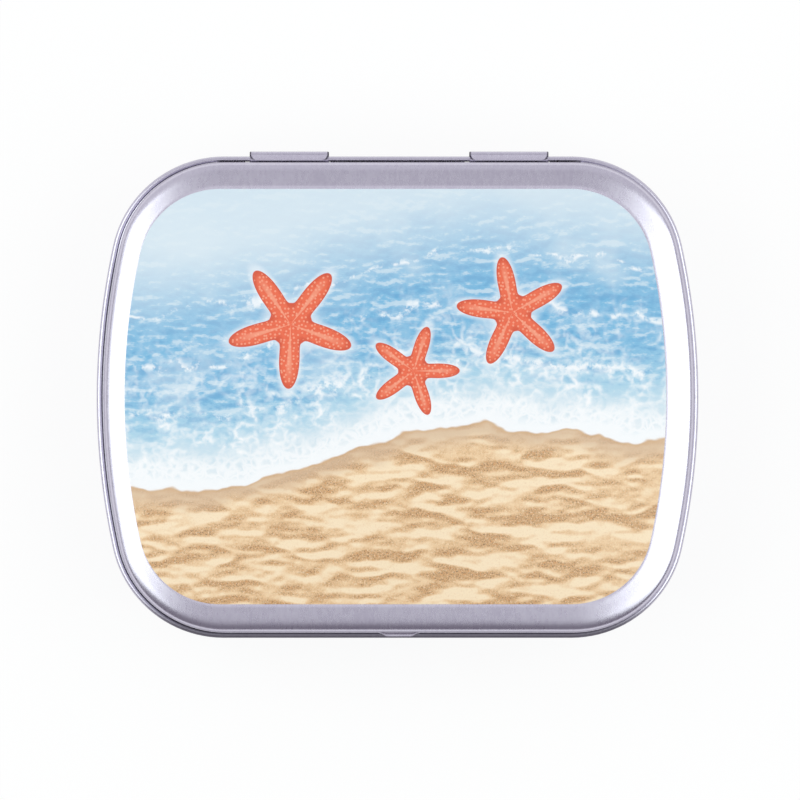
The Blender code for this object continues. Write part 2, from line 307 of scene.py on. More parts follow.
# %% Hinge sizes
HINGE_LENGTH = 0.0362
RELIEF_MARGIN = 0.00006
TONGUE_WIDTH = 0.0079
TONGUE_SPACING = 0.0219
TONGUE_CLEARANCE = 0.00025
TONGUE_CORNER = 0.0007
TONGUE_TAPER = 0.0001
TAPER_START = 0.0017
TAPER_END = 0.0009
TONGUE_BEND = 0.00025
TONGUE_END_GAP = 0.00025
STEM_RISE = 0.00025
SLOT_CLEARANCE = 0.0002
WINDOW_CLEARANCE = 0.0003

slot_reach = BEAD_RADIUS + TONGUE_CLEARANCE + SHEET + SLOT_CLEARANCE
relief_height = HEM_TOP + HEM_JOG + RELIEF_MARGIN
tongue_near = (TONGUE_SPACING - TONGUE_WIDTH) / 2
tongue_far = (TONGUE_SPACING + TONGUE_WIDTH) / 2
cut_turn = asin((HINGE_LENGTH / 2 - corner_x) / (CORNER_RADIUS - SKIRT_INSET))
print("slot", mm(HINGE_LENGTH), "mm long, tongues", mm(TONGUE_WIDTH), "mm wide")

# %% [markdown]
# ## The tray
#
# The section starts on the raised floor panel, drops to the foot that the tin stands on, bends up into
# the wall, goes out and round the stop bead, steps in along the ledge below the lid's hem, and rises as
# the neck to a rolled edge. It has a vertex at each height where the hinge's openings begin or end, so
# these are made by deleting faces.

# %% Tray section
PANEL_STEPS = 8
FOOT_STEPS = 14
INNER_STEPS = 4
BEAD_STEPS = 20
LAST_BEAD_STEPS = 3
CURL_STEPS = 20
SEAM_START = 0.00034
SEAM_FADE = 0.0001


def draw_floor(mesh):
    """The panel, the foot and the bend up to the wall."""
    bend_at = BODY_INSET + FLOOR_RADIUS
    foot_end = bend_at + FOOT_WIDTH
    panel = (-foot_end - PANEL_SLOPE, PANEL_RISE + HALF_SHEET)
    vert = pen_down(mesh, panel[0] - FLAT_MARGIN, panel[1])
    vert = line_to(mesh, vert, *panel)
    vert = slide_to(mesh, vert, panel, (-foot_end, HALF_SHEET), PANEL_STEPS)
    vert = line_to(mesh, vert, -bend_at, HALF_SHEET)
    return bend(mesh, vert, (-bend_at, FLOOR_RADIUS), pi / 2, FOOT_STEPS)


def draw_bead(mesh, vert):
    """The wall's top, the bead and the ledge, with a vertex where the hinge slot is cut."""
    radius = BEAD_RADIUS - HALF_SHEET
    wall = -BODY_INSET - HALF_SHEET
    neck = -NECK_INSET - HALF_SHEET
    ledge = LEDGE_HEIGHT - HALF_SHEET
    centre = (-BEAD_RADIUS, BEAD_HEIGHT)
    cut_angle = acos(-BODY_STEP / 2 / radius)
    last_angle = pi - asin((ledge - BEAD_HEIGHT) / radius)
    vert = line_to(mesh, vert, wall, BEAD_HEIGHT - slot_reach)
    vert = line_to(mesh, vert, wall, BEAD_HEIGHT - radius - INNER_BEND)
    inner = (wall + INNER_BEND, BEAD_HEIGHT - radius - INNER_BEND)
    vert = bend(mesh, vert, inner, -pi / 2, INNER_STEPS)
    vert = line_to(mesh, vert, -BEAD_RADIUS - BODY_STEP / 2, BEAD_HEIGHT - radius)
    vert = line_to(mesh, vert, -BEAD_RADIUS, BEAD_HEIGHT - radius)
    vert = bend(mesh, vert, centre, pi / 2 + cut_angle, BEAD_STEPS)
    vert = bend(mesh, vert, centre, last_angle - cut_angle, LAST_BEAD_STEPS)
    vert = line_to(mesh, vert, neck + INNER_BEND, ledge)
    return bend(mesh, vert, (neck + INNER_BEND, ledge + INNER_BEND), -pi / 2, INNER_STEPS)


def draw_neck(mesh, vert, top):
    """The neck and its rolled edge."""
    neck = -NECK_INSET - HALF_SHEET
    vert = line_to(mesh, vert, neck, BEAD_HEIGHT + slot_reach)
    vert = line_to(mesh, vert, neck, top - CURL_RADIUS)
    bend(mesh, vert, (-NECK_INSET - CURL_RADIUS, top - CURL_RADIUS), CURL_TURN, CURL_STEPS)


def mark_section(mesh):
    """Marks the groove under the lid for painted shade, and the bead for a painted dark reflection."""
    seam_shade = mesh.verts.layers.float["seam_shade"]
    painted_shade = mesh.verts.layers.float["painted_shade"]
    for vert in mesh.verts:
        inset = vert.co.y + RIM_DEPTH / 2
        if vert.co.z > BEAD_HEIGHT and inset < NECK_INSET:
            vert[seam_shade] = ease((inset - SEAM_START) / SEAM_FADE)
        # The bead is marked all round, and gets its painted dark reflection only at the front.
        if vert.co.z > BEAD_HEIGHT - BEAD_RADIUS and inset < BODY_INSET:
            vert[painted_shade] = 1


# %% [markdown]
# The neck's height follows from the lid's shoulder above it. The shoulder leaves the lid's flat at a
# small angle, keeps nearly that slope over most of its width, and steepens shortly before the edge
# bend. The power says how late. A slope can't be measured from straight above, so it was chosen by how
# the shoulder mirrors the light.

# %% Shoulder
SHOULDER_STEPS = 12
edge_centre = -SKIRT_INSET - EDGE_RADIUS
edge_bend = EDGE_RADIUS - HALF_SHEET
shoulder_width = edge_centre + edge_bend * sin(SHOULDER_ANGLE) + SHOULDER_INSET
first_drop = shoulder_width * tan(SHOULDER_START_ANGLE)
power = STEEPENING_POWER + 1
more_drop = shoulder_width * (tan(SHOULDER_ANGLE) - tan(SHOULDER_START_ANGLE)) / power
shoulder_end = LID_TOP - HALF_SHEET - first_drop - more_drop
neck_top = shoulder_end - SHEET - NECK_HEADROOM
print("shoulder drops", mm(first_drop + more_drop), "mm, neck reaches", mm(neck_top), "mm")

# %% Tray
def inside_box(face, low, high):
    """Whether a face's middle lies between two corners."""
    middle = face.calc_center_median()
    return all(low[axis] < middle[axis] < high[axis] for axis in range(3))


def cut_faces(mesh, low, high):
    """Deletes the faces whose middles lie in a box."""
    doomed = [face for face in mesh.faces if inside_box(face, low, high)]
    bmesh.ops.delete(mesh, geom=doomed, context="FACES")
    return len(doomed)


def cut_hinge_openings(mesh):
    """The long slot inside the bead, and a window below it for each tongue."""
    inner_y = RIM_DEPTH / 2 - 2 * NECK_INSET
    bar_y = RIM_DEPTH / 2 - BEAD_RADIUS - BODY_STEP / 2
    half_slot = HINGE_LENGTH / 2
    count = cut_faces(
        mesh, (-half_slot, inner_y, BEAD_HEIGHT), (half_slot, bar_y, BEAD_HEIGHT + slot_reach)
    )
    for side in (-1, 1):
        middle = side * TONGUE_SPACING / 2
        half_window = TONGUE_WIDTH / 2 + WINDOW_CLEARANCE
        low = (middle - half_window, inner_y, BEAD_HEIGHT - slot_reach)
        count += cut_faces(mesh, low, (middle + half_window, bar_y, BEAD_HEIGHT))
    return count


def make_tray():
    """The tray as tinplate."""
    mesh = bmesh.new()
    mesh.verts.layers.float.new("seam_shade")
    mesh.verts.layers.float.new("painted_shade")
    vert = draw_floor(mesh)
    vert = draw_bead(mesh, vert)
    draw_neck(mesh, vert, neck_top)
    mark_section(mesh)
    windows = [tongue_far + WINDOW_CLEARANCE, tongue_near - WINDOW_CLEARANCE]
    sweep_round(mesh, [corner_x / 2], windows, cut_turn)
    close_middle(mesh, PANEL_RISE + HALF_SHEET)
    print("faces cut for the hinge:", cut_hinge_openings(mesh))
    return as_tinplate("tray_shell", mesh)


tray_shell = make_tray()
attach(tray_shell, "base")
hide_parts("base_tray")
print("tray:", len(tray_shell.data.polygons), "faces")

# %% [markdown]
# ## The lid
#
# The lid's section runs from the flat over the shoulder and round the edge, down the skirt, out over a
# small jog, and inwards round the hem. Three things are pressed into the swept sheet afterwards, by
# moving vertices: the finger lip in the middle of the front, and a snap bump in the middle of each
# side.

# %% Lid section
EDGE_STEPS = 14
JOG_STEPS = 4
FOLD_STEPS = 12


def draw_lid(mesh):
    """The lid's section, from the flat to the raw edge inside the hem."""
    flat = LID_TOP - HALF_SHEET
    vert = pen_down(mesh, -SHOULDER_INSET - FLAT_MARGIN, flat)
    vert = line_to(mesh, vert, -SHOULDER_INSET - CREASE, flat)
    vert = line_to(mesh, vert, -SHOULDER_INSET, flat)
    for step in range(1, SHOULDER_STEPS + 1):
        share = step / SHOULDER_STEPS
        height = flat - first_drop * share - more_drop * share**power
        vert = line_to(mesh, vert, -SHOULDER_INSET + shoulder_width * share, height)
    centre = (edge_centre, shoulder_end - edge_bend * cos(SHOULDER_ANGLE))
    vert = bend(mesh, vert, centre, SHOULDER_ANGLE - pi / 2, EDGE_STEPS)
    skirt = -SKIRT_INSET - HALF_SHEET
    hem = -HEM_INSET - HALF_SHEET
    vert = line_to(mesh, vert, skirt, relief_height)
    vert = line_to(mesh, vert, skirt, HEM_TOP + HEM_JOG)
    for step in range(1, JOG_STEPS + 1):
        share = step / JOG_STEPS
        vert = line_to(mesh, vert, skirt + HEM_JOG * ease(share), HEM_TOP + HEM_JOG * (1 - share))
    fold = (SHEET + HEM_GAP) / 2
    fold_height = LID_EDGE + HALF_SHEET + fold
    vert = line_to(mesh, vert, hem, (HEM_TOP + fold_height) / 2)
    vert = line_to(mesh, vert, hem, fold_height)
    vert = bend(mesh, vert, (hem - fold, fold_height), -pi, FOLD_STEPS)
    line_to(mesh, vert, hem - 2 * fold, HEM_TOP - HEM_JOG)


# %% [markdown]
# Two small things are tuned to the photo. The flat is moved a little to the left and to the rear, which
# gives the margins beside the label the photo's look. The lower part of the edge bend is marked for a
# painted dark reflection, because the photo shows it dark at the front.

# %% Flat and edge
FLAT_SHIFT = Vector((-0.00028, 0.0001, 0))
# Painted shade: a darker reflection on the lower edge bend at the front, its share and where it lies.
EDGE_SHADE_SHARE = 0.7
EDGE_SHADE_INSET = 0.0010
EDGE_SHADE_DEPTH = 0.0022


def mark_edge(mesh):
    """Marks the edge bend's lower part for a painted dark reflection, and fades the mark down the skirt."""
    painted_shade = mesh.verts.layers.float["painted_shade"]
    for vert in mesh.verts:
        inset = vert.co.y + RIM_DEPTH / 2
        across = ease((EDGE_SHADE_INSET - inset) / (EDGE_SHADE_INSET - SKIRT_INSET))
        down = ease((vert.co.z - LID_TOP + EDGE_SHADE_DEPTH) / (EDGE_SHADE_DEPTH / 2))
        vert[painted_shade] = EDGE_SHADE_SHARE * across * down


def shift_flat(mesh):
    """Moves the flat off centre, and the shoulder with it, less the lower it is."""
    for vert in mesh.verts:
        share = (vert.co.z - shoulder_end) / (LID_TOP - HALF_SHEET - shoulder_end)
        vert.co += FLAT_SHIFT * min(max(share, 0), 1)


# %% Finger lip and snap bumps
LIP_COLUMNS = 14
LIP_ROOT_WIDTH = 0.0042
LIP_TIP_WIDTH = 0.0025
LIP_REACH = 0.00042
LIP_HEIGHT = 0.0016
LIP_LIFT = 0.00015
SNAP_WIDTH = 0.0021
SNAP_REACH = 0.0001
SNAP_HEIGHT = 0.0010
SNAP_RISE = 0.0002


def press_details(mesh):
    """Moves the sheet out and up at the lip, over the bead, and out at the snap bumps."""
    ramp = (LIP_ROOT_WIDTH - LIP_TIP_WIDTH) / 2
    for vert in mesh.verts:
        above = vert.co.z - LID_EDGE
        if vert.co.y < 0 and abs(vert.co.x) < LIP_ROOT_WIDTH / 2:
            across = min((LIP_ROOT_WIDTH / 2 - abs(vert.co.x)) / ramp, 1)
            share = across * ease(1 - above / LIP_HEIGHT)
            vert.co += Vector((0, -LIP_REACH, LIP_LIFT)) * share
        elif abs(vert.co.y) < SNAP_WIDTH / 2:
            along = ease(1 - abs(vert.co.y) / (SNAP_WIDTH / 2))
            half_height = SNAP_HEIGHT / 2
            out = SNAP_REACH * along * ease(1 - abs(above - SNAP_RISE - half_height) / half_height)
            vert.co.x += out if vert.co.x > 0 else -out


# %% [markdown]
# ## The tongues
#
# A tongue isn't a separate piece: it is the lid's own sheet. So it grows out of the cut edge of the
# skirt. The cut edge is extruded again and again along the tongue's line, which leans in through the
# slot, follows a circle under and behind the bead, and turns in flat over its top. The last rows are
# narrowed, which rounds the corners of the free end. The finished lid is moved a little to the right,
# within the play of its tongues in the windows, because the photographed lid lies there.

# %% Tongue line
LID_PLAY = Vector((0.00016, 0, 0))
CUT_SHADE = 0.0001
ROLL_STEPS = 26
TURN_IN_STEPS = 8
END_STEPS = 10
TONGUE_COLUMNS = 12


def arc_points(centre, radius, start, end, steps):
    """Points along an arc in the plane across the hinge."""
    return [
        Vector((centre[0] + radius * cos(angle), centre[1] + radius * sin(angle)))
        for angle in spread(start, end, steps)
    ]


def tongue_line():
    """The tongue's middle line, measured outwards and up from the hinge axis."""
    radius = BEAD_RADIUS + TONGUE_CLEARANCE + HALF_SHEET
    lean = Vector((BEAD_RADIUS - SKIRT_INSET - HALF_SHEET, radius + STEM_RISE))
    meets = atan2(lean.y, lean.x) + acos(radius / hypot(lean.x, lean.y))
    bend_at = radius - TONGUE_BEND
    end = BEAD_RADIUS - SKIRT_INSET + TONGUE_END_GAP
    line = [lean] + arc_points((0, 0), radius, meets, 2 * pi, ROLL_STEPS)
    line += arc_points((bend_at, bend_at), TONGUE_BEND, 0, pi / 2, TURN_IN_STEPS)
    line += [Vector((outward, radius)) for outward in spread(bend_at, end, END_STEPS)[1:]]
    return line


def width_shares(line):
    """The share of its full width that the tongue has at each point of its line."""
    shares = []
    from_end = 0
    for point, after in zip(line[::-1], [line[-1]] + line[::-1]):
        from_end += (after - point).length
        short = max(TONGUE_CORNER - from_end, 0)
        rounding = TONGUE_CORNER - (TONGUE_CORNER**2 - short**2) ** 0.5
        taper = TONGUE_TAPER * ease((TAPER_START - from_end) / (TAPER_START - TAPER_END))
        half_width = TONGUE_WIDTH / 2 - taper - rounding
        shares.append(half_width / (TONGUE_WIDTH / 2))
    return shares[::-1]


def mark_cut(mesh, verts):
    """Marks vertices on a raw cut edge."""
    cut = mesh.verts.layers.float["cut"]
    for vert in verts:
        vert[cut] = 1


def grow_tongue(mesh, middle_x):
    """Extrudes the skirt's cut edge along the tongue's line."""
    reach = TONGUE_WIDTH / 2 + MERGE
    edges = [
        edge
        for edge in mesh.edges
        if edge.is_boundary and all(abs(v.co.x - middle_x) < reach for v in edge.verts)
        and all(v.co.y > 0 and abs(v.co.z - relief_height) < MERGE for v in edge.verts)
    ]
    here = Vector((BEAD_RADIUS - SKIRT_INSET - HALF_SHEET, relief_height - BEAD_HEIGHT))
    line = tongue_line()
    width = 1
    for row, (point, share) in enumerate(zip(line, width_shares(line))):
        step = point - here
        edges = extrude_by(mesh, edges, (0, step.x, step.y))
        verts = list({vert for edge in edges for vert in edge.verts})
        if row == 0:
            side_reach = TONGUE_WIDTH / 2 - MERGE
            mark_cut(mesh, [vert for vert in verts if abs(vert.co.x - middle_x) > side_reach])
        about = Matrix.Translation((-middle_x, 0, 0))
        bmesh.ops.scale(mesh, vec=(share / width, 1, 1), space=about, verts=verts)
        here = point
        width = share
    mark_cut(mesh, verts)
    return len(edges)


# %% Lid
def make_lid():
    """The lid and its tongues as tinplate."""
    mesh = bmesh.new()
    mesh.verts.layers.float.new("cut")
    mesh.verts.layers.float.new("painted_shade")
    draw_lid(mesh)
    mark_edge(mesh)
    lip = spread(0, LIP_ROOT_WIDTH / 2, LIP_COLUMNS)[1:]
    tongue_rows = spread(tongue_far, tongue_near, TONGUE_COLUMNS)
    tongue_rows[1:1] = [tongue_far - CUT_SHADE]
    tongue_rows[-1:-1] = [tongue_near + CUT_SHADE]
    sweep_round(mesh, lip + [corner_x / 2], tongue_rows, cut_turn)
    close_middle(mesh, LID_TOP - HALF_SHEET)
    shift_flat(mesh)
    press_details(mesh)
    inner_y = RIM_DEPTH / 2 - 2 * NECK_INSET
    half_cut = HINGE_LENGTH / 2
    removed = cut_faces(mesh, (-half_cut, inner_y, 0), (half_cut, RIM_DEPTH / 2, relief_height))
    columns = [grow_tongue(mesh, side * TONGUE_SPACING / 2) for side in (-1, 1)]
    bmesh.ops.translate(mesh, vec=LID_PLAY, verts=mesh.verts)
    print("faces cut from the rear edge:", removed, "columns in the tongues:", columns)
    return as_tinplate("lid_shell", mesh)


lid_shell = make_lid()
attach(lid_shell, "lid")
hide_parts("lid")
print("lid:", len(lid_shell.data.polygons), "faces")

# %% [markdown]
# ## The label
#
# The label is a die-cut sticker on the lid's flat. Its outline is the rim's, drawn in: an upright edge
# as high as the sticker is thick is swept round, its two loops are filled, and the upper rim is
# softened. The label is then stretched and moved by a fraction of a millimetre, to the place and size
# that the photo shows.

# %% Label
LABEL_MARGIN = 0.0001
LABEL_INSET = SHOULDER_INSET + LABEL_MARGIN
LABEL_THICKNESS = 0.00012
ADHESIVE_GAP = 0.00003
LABEL_SHIFT = Vector((-0.00020, 0.00006, 0))
LABEL_STRETCH = Vector((1.0046, 0.9935, 1))


def make_label():
    """The sticker as a thin closed plate."""
    mesh = bmesh.new()
    lower = LID_TOP + ADHESIVE_GAP
    start = pen_down(mesh, -LABEL_INSET, lower)
    line_to(mesh, start, -LABEL_INSET, lower + LABEL_THICKNESS)
    sweep_round(mesh, [corner_x / 2], [corner_x / 2], cut_turn)
    for height in (lower, lower + LABEL_THICKNESS):
        close_middle(mesh, height)
    bmesh.ops.recalc_face_normals(mesh, faces=mesh.faces)
    upper_rim = [
        edge
        for edge in mesh.edges
        if edge.calc_face_angle(0) > BEVEL_ANGLE and edge.verts[0].co.z > LID_TOP + LABEL_THICKNESS
    ]
    bmesh.ops.bevel(
        mesh, geom=upper_rim, offset=EDGE_BREAK, affect="EDGES", segments=BEVEL_SEGMENTS, profile=0.5,
        material=-1
    )
    bmesh.ops.scale(mesh, vec=LABEL_STRETCH, verts=mesh.verts)
    bmesh.ops.translate(mesh, vec=LABEL_SHIFT, verts=mesh.verts)
    made = as_object("label_sticker", mesh)
    shade(made)
    return made


label_sticker = make_label()
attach(label_sticker, "lid")
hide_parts("lid_label")
print("label:", len(label_sticker.data.polygons), "faces")

# %% [markdown]
# ## Colour by arithmetic
#
# The finishes are node materials, painted in the piece's own coordinates, so they stay put when the lid
# turns. Long chains of Math nodes are hard to read, so the next cell wraps a node's output in a small
# class. Adding or multiplying two of them adds the Math node. The formulas below then read like
# formulas.

# %% A field of numbers
def feed(tree, socket, value):
    """Gives a socket a value, or a link from a field or another socket."""
    if isinstance(value, Field):
        value = value.socket
    if isinstance(value, bpy.types.NodeSocket):
        tree.links.new(value, socket)
    else:
        socket.default_value = value


def node(tree, kind, inputs, **settings):
    """Adds a node with its settings and feeds its inputs, which are named or numbered."""
    made = tree.nodes.new(kind)
    for name, value in settings.items():
        setattr(made, name, value)
    for name, value in inputs.items():
        feed(tree, made.inputs[name], value)
    return made


class Field:
    """A number that varies over a surface."""

    def __init__(self, tree, socket):
        self.tree = tree
        self.socket = socket

    def maths(self, operation, *others):
        """A Math node on this field and others."""
        inputs = {index: value for index, value in enumerate((self, *others))}
        made = node(self.tree, "ShaderNodeMath", inputs, operation=operation)
        return Field(self.tree, made.outputs[0])

    def __add__(self, other):
        return self.maths("ADD", other)

    def __sub__(self, other):
        return self.maths("SUBTRACT", other)

    def __mul__(self, other):
        return self.maths("MULTIPLY", other)

    def rise(self, low, high):
        """0 up to low, 1 from high on, and a soft step between. Low may be the greater of the two."""
        inputs = {"Value": self, "From Min": low, "From Max": high}
        made = node(self.tree, "ShaderNodeMapRange", inputs, interpolation_type="SMOOTHSTEP")
        return Field(self.tree, made.outputs[0])


def blend(tree, share, first, second):
    """The first colour where the share is 0, the second where it is 1."""
    inputs = {0: share, 6: first, 7: second}
    return node(tree, "ShaderNodeMix", inputs, data_type="RGBA").outputs[2]


def noise(tree, place, scale, detail=2, rough=0.5):
    """A noise field from 0 to 1 at a place."""
    inputs = {"Vector": place, "Scale": scale, "Detail": detail, "Roughness": rough}
    return Field(tree, node(tree, "ShaderNodeTexNoise", inputs).outputs[0])


def stretched(tree, place, factors):
    """A place with its axes scaled, which stretches a pattern."""
    inputs = {0: place, 1: factors}
    return node(tree, "ShaderNodeVectorMath", inputs, operation="MULTIPLY").outputs[0]


def printed(red, green, blue):
    """A colour as a printer's 0 to 255 values, made linear as the shaders want it."""
    shares = [value / 255 for value in (red, green, blue)]
    return (*[((s + 0.055) / 1.055) ** 2.4 if s > 0.04045 else s / 12.92 for s in shares], 1)


def new_material(name):
    """A material with its tree, its Principled shader and its own coordinates."""
    made = bpy.data.materials.new(name)
    made.use_nodes = True
    tree = made.node_tree
    place = tree.nodes.new("ShaderNodeTexCoord").outputs["Object"]
    return made, tree, tree.nodes["Principled BSDF"], place


# %% [markdown]
# ## Tinplate
#
# Tinplate is steel with a thin coat of tin. It is rolled, so it has fine streaks in one direction,
# here front to rear, with a fine grain and soft clouds among them. They go into roughness and a very
# low bump, with only a trace of them in colour, which gives the highlights a satin edge. The grazing
# tint darkens the metal where it turns away from the eye.
#
# Three places are dark in the photo: the groove under the lid's edge, the bead and the lid's edge at
# the front, and the cut edges at the tongues. The meshes mark them, and here they are made darker and
# rougher. The groove's darkness is painted shade, and the bead's and edge's at the front a painted dark
# reflection. In the groove and on the bead and edge, the place along the tin's depth says how much. The
# photo doesn't tell what makes the cut edges dark, and the amounts are tuned.

# %% Painted shade and dark cut edges
# The dark tin that painted shade and the darker cut edges blend towards.
PAINTED_SHADE_TIN = printed(62, 54, 64)
SIDES_BEGIN = (0.0165, 0.0125)
FRONT_BEGINS = (-0.0205, -0.0235)
FRONT_BEAD_BEGINS = (-0.0195, -0.0235)
# How much painted shade the groove gets at the rear, at the sides, and more at the front.
SEAM_SHADE_AT_REAR = 0.02
SEAM_SHADE_AT_SIDES = 0.4
SEAM_SHADE_MORE_AT_FRONT = 0.48
CUT_DARKENING = 0.85
# The painted dark reflection on the bead and the lid's edge at the front.
FRONT_SHADE = 0.68


def painted_shade_places(tree, place):
    """How much painted shade the tin gets, with the darker cut edges, from 0 to 1."""
    seam_shade, cut, edge = [
        Field(tree, node(tree, "ShaderNodeAttribute", {}, attribute_name=name).outputs["Fac"])
        for name in ("seam_shade", "cut", "painted_shade")
    ]
    along = Field(tree, node(tree, "ShaderNodeSeparateXYZ", {0: place}).outputs[1])
    seam_shade_amount = along.rise(*SIDES_BEGIN) * SEAM_SHADE_AT_SIDES
    seam_shade_amount = seam_shade_amount + along.rise(*FRONT_BEGINS) * SEAM_SHADE_MORE_AT_FRONT + SEAM_SHADE_AT_REAR
    at_front = along.rise(*FRONT_BEAD_BEGINS) * FRONT_SHADE
    painted_shade = (seam_shade * seam_shade_amount).maths("MAXIMUM", cut * CUT_DARKENING)
    return painted_shade.maths("MAXIMUM", edge * at_front)


# %% Tinplate material
TIN_COLOUR = printed(217, 214, 228)
TIN_SHADE = printed(209, 205, 221)
GRAZING_TINT = (0.4, 0.38, 0.42, 1)
STREAK_SCALES = (3600, 1100, 1100)
GRAIN_SCALE = 4200
CLOUD_SCALE = 170
LEAST_ROUGHNESS = 0.21
TIN_RELIEF = 0.000012
TIN_RELIEF_STRENGTH = 0.09


def make_tinplate():
    """Rolled tinplate with a satin surface."""
    made, tree, shader, place = new_material("tinplate_satin")
    streaks = noise(tree, stretched(tree, place, STREAK_SCALES), 1)
    grain = noise(tree, place, GRAIN_SCALE, 3, 0.6)
    clouds = noise(tree, place, CLOUD_SCALE, 3, 0.6)
    tone = streaks * 0.4 + grain * 0.4 + clouds * 0.2
    painted_shade = painted_shade_places(tree, place)
    tin = blend(tree, tone.rise(0.36, 0.64), TIN_SHADE, TIN_COLOUR)
    # Painted shade in the groove, a painted dark reflection at the front, and darker cut edges.
    feed(tree, shader.inputs["Base Color"], blend(tree, painted_shade, tin, PAINTED_SHADE_TIN))
    rough = streaks * 0.05 + clouds * 0.08 + painted_shade * 0.3 + LEAST_ROUGHNESS
    feed(tree, shader.inputs["Roughness"], rough)
    shader.inputs["Metallic"].default_value = 1
    shader.inputs["Specular Tint"].default_value = GRAZING_TINT
    relief = {
        "Height": streaks * 0.4 + grain * 0.6, "Strength": TIN_RELIEF_STRENGTH, "Distance": TIN_RELIEF
    }
    bump = node(tree, "ShaderNodeBump", relief)
    feed(tree, shader.inputs["Normal"], bump.outputs[0])
    return made


tinplate = make_tinplate()
for piece in (tray_shell, lid_shell):
    piece.data.materials.clear()
    piece.data.materials.append(tinplate)
print("tinplate nodes:", len(tinplate.node_tree.nodes))

# %% [markdown]
# ## The printed picture
#
# The label carries a generic picture of a beach seen from above: deep water, ripples in the shallows, a
# lace of foam and rippled sand, with three starfish. Water, foam and sand follow one field, which says
# how far a place lies above the shore line, in millimetres. Water is where it is positive, sand where
# it is negative, and the foam fades out over the water's first 4 mm.

# %% Shore line
SHORE_PLACE = -5.4
SHORE_SLOPE = 0.10
SHORE_SWING = 1.7
SWING_TURN = 0.13
SWING_START = 0.9
SHORE_WANDER = 3.4
WANDER_SCALE = 0.16


class Picture:
    """The label's tree, with its places in millimetres and how far each lies above the shore line."""

    def __init__(self, tree, place):
        self.tree = tree
        self.place = stretched(tree, place, (MILLIMETRES, MILLIMETRES, 0))
        axes = node(tree, "ShaderNodeSeparateXYZ", {0: self.place}).outputs
        self.x = Field(tree, axes[0])
        self.y = Field(tree, axes[1])
        wander = noise(tree, self.place, WANDER_SCALE, 3) - 0.5
        swing = (self.x * SWING_TURN + SWING_START).maths("SINE") * SHORE_SWING
        self.shore = self.y - swing - self.x * SHORE_SLOPE - wander * SHORE_WANDER - SHORE_PLACE

    def noise(self, scale, detail=2, rough=0.5, place=None):
        """Noise over the picture or another place, its scale in cycles for each millimetre."""
        return noise(self.tree, place or self.place, scale, detail, rough)

    def blend(self, share, first, second):
        """A blend of two colours in the picture's tree."""
        return blend(self.tree, share, first, second)

    def lit(self, height, step):
        """How much a relief faces the light: its rise from a spot one step nearer the light."""
        inputs = {0: self.place, 1: step}
        nearer = node(self.tree, "ShaderNodeVectorMath", inputs, operation="ADD").outputs[0]
        return height(self, self.place) - height(self, nearer)


# %% Water
DEEP_WATER = printed(120, 184, 222)
TROUGH_WATER = printed(96, 164, 210)
OPEN_WATER = printed(222, 234, 242)
SHALLOW_WATER = printed(172, 212, 232)
PALE_WATER = printed(226, 235, 241)
FOAM = printed(250, 251, 253)
WATER_LIGHT_STEP = (-0.15, 0.35, 0)
SWELL_STRETCH = (0.12, 0.42, 1)
CHOP_STRETCH = (0.7, 1.5, 1)
WARP_SCALE = 0.8
WARP_PUSH = 1.7
CRESTS = ((7.0, 0.9), (12.4, 0.7), (17.6, 0.5))


def water_height(picture, place):
    """Low waves along the shore, with short chop on them."""
    swell = noise(picture.tree, stretched(picture.tree, place, SWELL_STRETCH), 1)
    chop = noise(picture.tree, stretched(picture.tree, place, CHOP_STRETCH), 1, 3, 0.6)
    return swell * 1.6 + chop * 0.9


def ripple_net(picture, scale, width):
    """The net of light that ripples throw on a shallow floor."""
    tree = picture.tree
    inputs = {"Vector": picture.place, "Scale": scale * WARP_SCALE, "Detail": 3}
    warp = node(tree, "ShaderNodeTexNoise", inputs).outputs["Color"]
    push = WARP_PUSH / scale
    pushed = stretched(tree, warp, (push, push, 0))
    moved = node(tree, "ShaderNodeVectorMath", {0: picture.place, 1: pushed}, operation="ADD").outputs[0]
    inputs = {"Vector": moved, "Scale": scale}
    cells = node(tree, "ShaderNodeTexVoronoi", inputs, feature="DISTANCE_TO_EDGE", voronoi_dimensions="2D")
    return Field(tree, cells.outputs["Distance"]).rise(width, 0)


def paint_water(picture):
    """Water from the shallows out to the open sea, with waves, the net of light and broken crests."""
    shore = picture.shore
    colour = picture.blend(shore.rise(1, 6), PALE_WATER, SHALLOW_WATER)
    colour = picture.blend(shore.rise(4, 11), colour, DEEP_WATER)
    lit = picture.lit(water_height, WATER_LIGHT_STEP)
    colour = picture.blend(lit.rise(0.02, -0.22) * shore.rise(3, 9) * 0.75, colour, TROUGH_WATER)
    colour = picture.blend(lit.rise(0.02, 0.24) * 0.6, colour, OPEN_WATER)
    colour = picture.blend(shore.rise(13, 25) * 0.9, colour, OPEN_WATER)
    patches = picture.noise(0.11, 3, 0.6)
    colour = picture.blend(patches.rise(0.48, 0.72) * 0.5, colour, OPEN_WATER)
    fine_net = ripple_net(picture, 0.62, 0.34) * ripple_net(picture, 1.05, 0.5)
    net = fine_net + ripple_net(picture, 0.34, 0.2) * 0.4
    net = net * picture.noise(0.3).rise(0.32, 0.62)
    colour = picture.blend(net * (shore.rise(19, 2) * 0.8), colour, FOAM)
    broken = picture.noise(0.6, 4, 0.65).rise(0.47, 0.6)
    for away, width in CRESTS:
        bent = shore - away + (picture.noise(0.2, 3) - 0.5) * 5
        crest = bent.maths("ABSOLUTE").rise(width, 0)
        colour = picture.blend(crest * broken * 0.85, colour, FOAM)
    return colour


# %% Sand
SAND = printed(240, 204, 160)
SAND_LIGHT = printed(253, 230, 196)
SAND_SHADE = printed(206, 160, 112)
SAND_DARK = printed(120, 88, 58)
SAND_AMBER = printed(214, 146, 80)
WET_SAND = printed(214, 184, 154)
SAND_LIGHT_STEP = (-0.16, 0.4, 0)
DRIFT_STRETCH = (0.5, 1.3, 1)
CREST_SOFTNESS = 0.02


